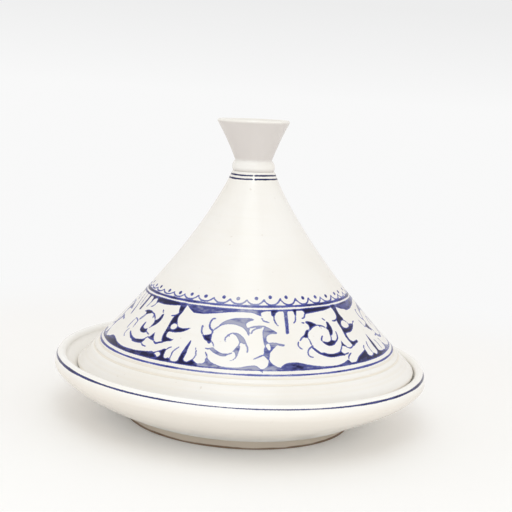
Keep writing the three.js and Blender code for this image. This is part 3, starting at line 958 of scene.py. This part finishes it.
# The floor turns into the backdrop between clearFrom and clearTo, metres from the axis
room = {
    "floorColour": (0.98, 0.98, 0.98),
    "floorSize": 6.0,
    "floorPoints": 13,
    "clearFrom": 0.30,
    "clearTo": 0.62,
    "backLevel": 0.945,
    "topLevel": 0.85,
    "topRise": 0.085,
    "worldLight": 0.88,
    "worldColour": (1, 0.975, 0.943),
}
lamps = [
    # name, place, aim, size, power, colour
    ("wide", (-0.06, -0.60, 1.08), (0, 0, 0.1), (0.6, 0.9), 1.62, (0.84, 0.95, 1)),
    ("top", (-0.1, 0.25, 1.3), (0, 0, 0.05), (0.8, 0.8), 0.2, (0.92, 0.97, 1)),
    ("spot", (-0.015, -0.72, 0.80), (0, 0, 0.2), (0.1, 0.12), 0.3, (0.84, 0.95, 1)),
    ("card", (0.05, -0.8, 0.06), (0, -0.09, 0.03), (1.4, 0.1), 0.75, (0.96, 0.99, 1)),
    ("right", (1.2, -0.2, 0.6), (0, 0, 0.05), (0.9, 0.9), 0.4, (0.96, 0.99, 1)),
    ("back", (-0.2, 1.4, 0.8), (0, 0, 0.06), (1.6, 0.9), 0.6, (0.96, 0.99, 1)),
]


def makeFloor():
    # Level grid of squares, which away from the pot shows the backdrop's level to the camera
    half, count = room["floorSize"] / 2, room["floorPoints"]
    x, y = np.meshgrid(*[np.linspace(-half, half, count)] * 2)
    places = np.c_[x.ravel(), y.ravel(), np.zeros(x.size)]
    i = np.arange(count * (count - 1)).reshape(count - 1, count)[:, :-1].ravel()
    mesh = bpy.data.meshes.new("floor")
    mesh.from_pydata(places.tolist(), [], np.c_[i, i + 1, i + count + 1, i + count].tolist())
    material = bpy.data.materials.new("pale_floor")
    add = nodeMaker(material)
    place = add("TexCoord", output="Object")
    far = add("VectorMath", {0: place}, "Value", operation="LENGTH")
    reach = {"Value": far, "From Min": room["clearFrom"], "From Max": room["clearTo"]}
    share = add("MapRange", reach, interpolation_type="SMOOTHSTEP")
    grain = add("TexNoise", {"Vector": place, "Scale": 300.0, "Detail": 3.0}, "Fac")
    bump = add("Bump", {"Height": grain, "Strength": 0.05, "Distance": 0.0003})
    look = {"Base Color": (*room["floorColour"], 1), "Roughness": 0.75, "Specular IOR Level": 0.2}
    matt = add("BsdfPrincipled", {**look, "Normal": bump})
    bright = add("Emission", {"Color": (*[room["backLevel"]] * 3, 1), "Strength": 1.0})
    seen = add("LightPath", output="Is Camera Ray")
    both = add("Math", {0: share, 1: seen}, operation="MULTIPLY")
    add("OutputMaterial", {"Surface": add("MixShader", {0: both, 1: matt, 2: bright})})
    mesh.materials.append(material)
    linked("floor", mesh)


def lightWorld():
    # An even light, and for the camera a backdrop that darkens a little upwards
    world = bpy.data.worlds.new("studio")
    bpy.context.scene.world = world
    add = nodeMaker(world)
    up = add("SeparateXYZ", {0: add("TexCoord", output="Generated")}, "Z")
    levels = {"From Max": room["topRise"], "To Min": room["backLevel"], "To Max": room["topLevel"]}
    level = add("MapRange", {"Value": up, **levels})
    backdrop = add("Background", {"Color": (1, 1, 1, 1), "Strength": level})
    seen = add("LightPath", output="Is Camera Ray")
    light = add("Background", {"Color": (*room["worldColour"], 1), "Strength": room["worldLight"]})
    add("OutputWorld", {"Surface": add("MixShader", {0: seen, 1: light, 2: backdrop})})


def aimed(place, aim):
    # The lamp's -Z looks at the aim
    back = np.array(place, float) - np.array(aim, float)
    back = back / np.linalg.norm(back)
    side = np.cross((0, 0, 1), back)
    side = side / np.linalg.norm(side)
    return facing(side, np.cross(back, side), back, place)


def addLamps():
    # Soft rectangular lamps, each turned to its aim
    for name, place, aim, (width, height), power, colour in lamps:
        lamp = bpy.data.lights.new(name, "AREA")
        lamp.shape = "RECTANGLE"
        lamp.size = width
        lamp.size_y = height
        lamp.energy = power
        lamp.color = colour
        linked(name, lamp).matrix_world = aimed(place, aim)


# Place in metres, turns in radians and lens in millimetres
view = {
    "place": (0, -0.861709, 0.263141),
    "down": 0.14982221,
    "right": 0.00777492,
    "roll": 0.06786441,
    "lens": 75.0832,
}


def addCamera():
    # Turned right, then down, then rolled about the line of sight: right cos + up sin, up cos - right sin
    yaw, pitch, roll = view["right"], view["down"], view["roll"]
    right = np.array([np.cos(yaw), -np.sin(yaw), 0])
    forward = np.array([np.sin(yaw) * np.cos(pitch), np.cos(yaw) * np.cos(pitch), -np.sin(pitch)])
    up = np.array([np.sin(yaw) * np.sin(pitch), np.cos(yaw) * np.sin(pitch), np.cos(pitch)])
    rolledRight = right * np.cos(roll) + up * np.sin(roll)
    rolledUp = -right * np.sin(roll) + up * np.cos(roll)
    camera = bpy.data.cameras.new("camera")
    camera.lens = view["lens"]
    camera.sensor_width = 36
    camera.sensor_fit = "HORIZONTAL"
    camera.clip_start = 0.05
    camera.clip_end = 20
    bpy.context.scene.camera = linked("camera", camera)
    bpy.context.scene.camera.matrix_world = facing(rolledRight, rolledUp, -forward, view["place"])


makeFloor()
lightWorld()
addLamps()
addCamera()
bpy.context.scene.view_settings.view_transform = "Standard"
say("floor, light and camera in place")
